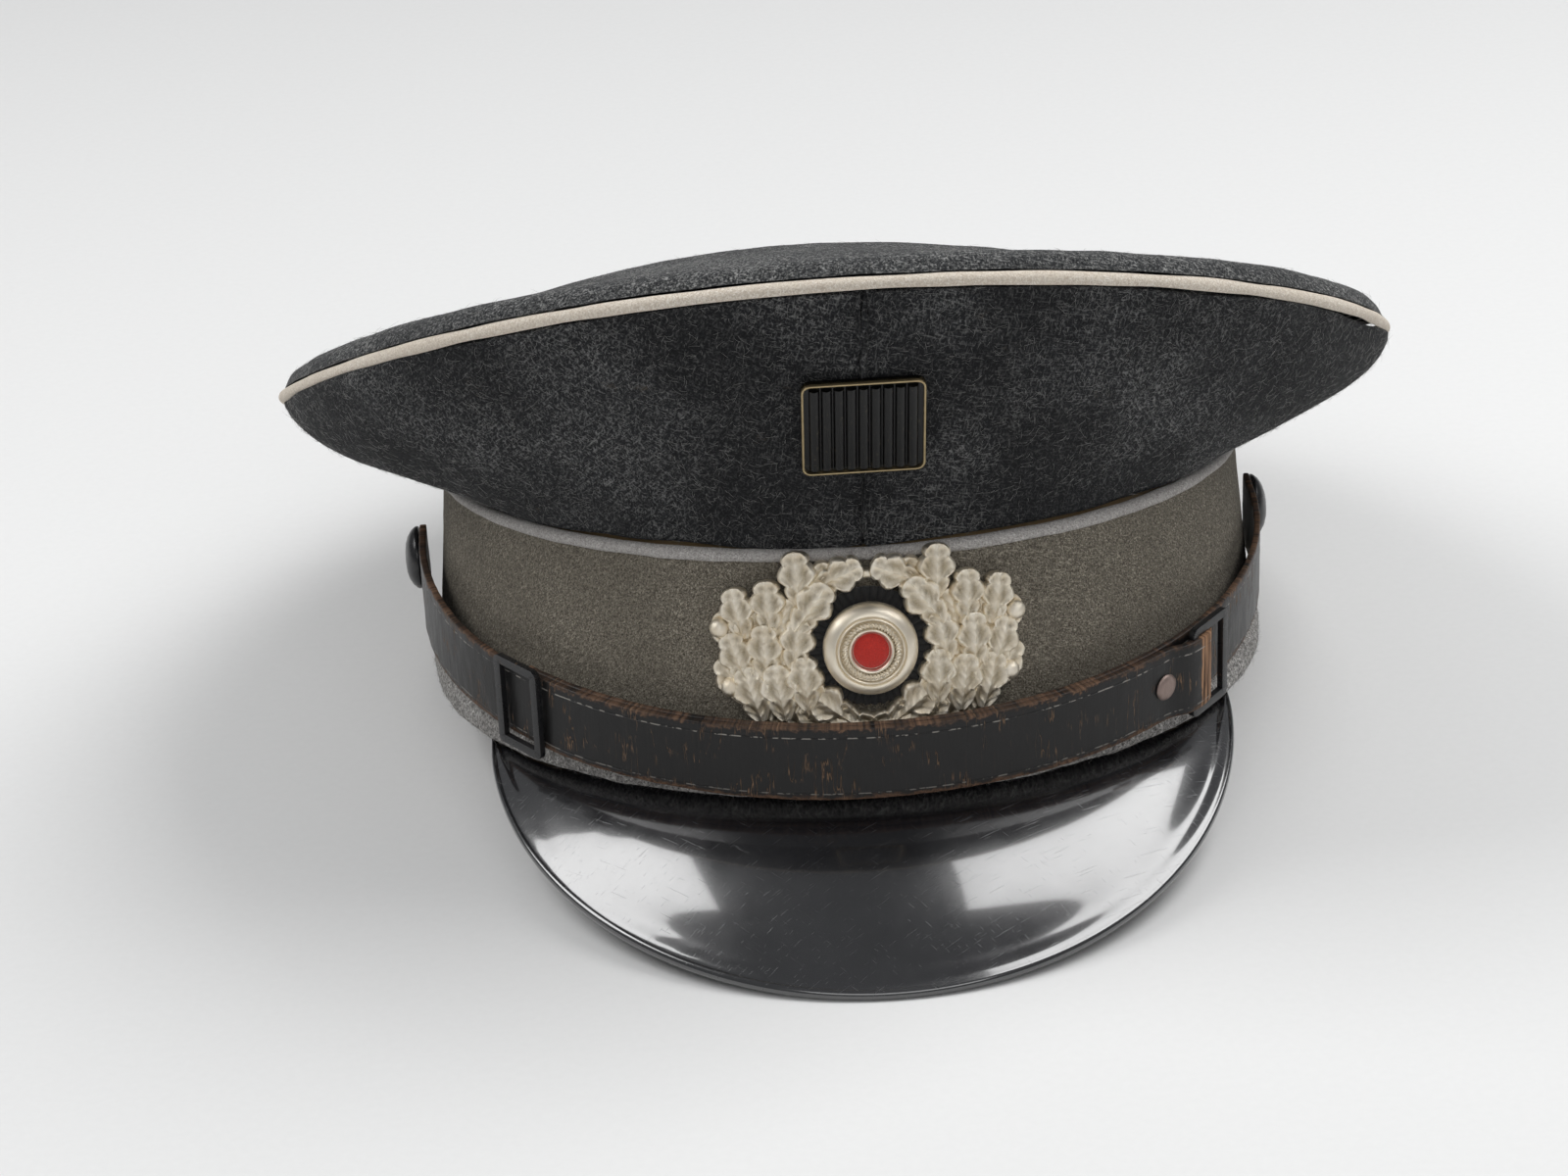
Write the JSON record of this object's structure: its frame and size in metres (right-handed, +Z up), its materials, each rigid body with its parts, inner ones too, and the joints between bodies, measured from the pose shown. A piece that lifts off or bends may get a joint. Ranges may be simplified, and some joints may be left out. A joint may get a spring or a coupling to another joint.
{
  "type": "military peaked cap",
  "caption": "Peaked cap with a saddle-shaped wool crown, stiff band, lacquered visor, two-part leather chin strap, oak-leaf wreath with cockade and a plain badge.",
  "frame": {"origin": "on the surface the cap rests on, under the middle of its outline", "axes": "+Z up from the surface, +Y towards the back of the cap, +X towards the wearer's left; the front is -Y"},
  "size_m": [0.2538, 0.2676, 0.1536],
  "materials": {
    "crown_wool": "felted wool",
    "band_wool": "fine felted wool",
    "hem_wool": "mottled wool",
    "piping": "wool cord",
    "lining": "sateen",
    "stiffener_board": "plain board",
    "sweat_leather": "smooth",
    "visor_fibre": "lacquered",
    "strap_leather": "cracked lacquer",
    "black_metal": "enamelled",
    "stud_metal": "dull",
    "wreath_metal": "frosted",
    "ruffle_cloth": "pleated",
    "felt_red": "felt",
    "badge_enamel": "enamel",
    "pin_metal": "plain",
    "spring_steel": "plain",
    "clear_sheet": "clear"
  },
  "bodies": {
    "cap": {"crown_top": "crown_wool", "crown_front_left": "crown_wool", "crown_front_right": "crown_wool", "crown_rear_left": "crown_wool", "crown_rear_right": "crown_wool", "crown_piping": "piping", "crown_wire": "spring_steel", "front_stay": "stiffener_board", "crown_lining": "lining", "sweat_shield": "clear_sheet", "band_cloth": "band_wool", "band_stiffener": "stiffener_board", "band_top_piping": "piping", "band_bottom_piping": "piping", "hem_strip": "hem_wool", "sweatband": "sweat_leather", "visor": "visor_fibre", "side_button_left": "black_metal", "side_button_right": "black_metal", "wreath": "wreath_metal", "wreath_prongs": "wreath_metal", "cockade_ruffle": "ruffle_cloth", "cockade_boss": "wreath_metal", "cockade_felt": "felt_red", "badge": "badge_enamel", "badge_prongs": "pin_metal"},
    "chin_strap": {"strap_outer": "strap_leather", "strap_inner": "strap_leather", "strap_slide": "black_metal", "strap_buckle": "black_metal", "strap_stud": "stud_metal"}
  },
  "joints": [
    {"name": "chin_strap_swing", "type": "hinge", "parent": "cap", "child": "chin_strap", "pos_m": [0, 0.00746, 0.03957], "axis": [-1, 0, 0], "range_deg": [0, 2.2]}
  ]
}
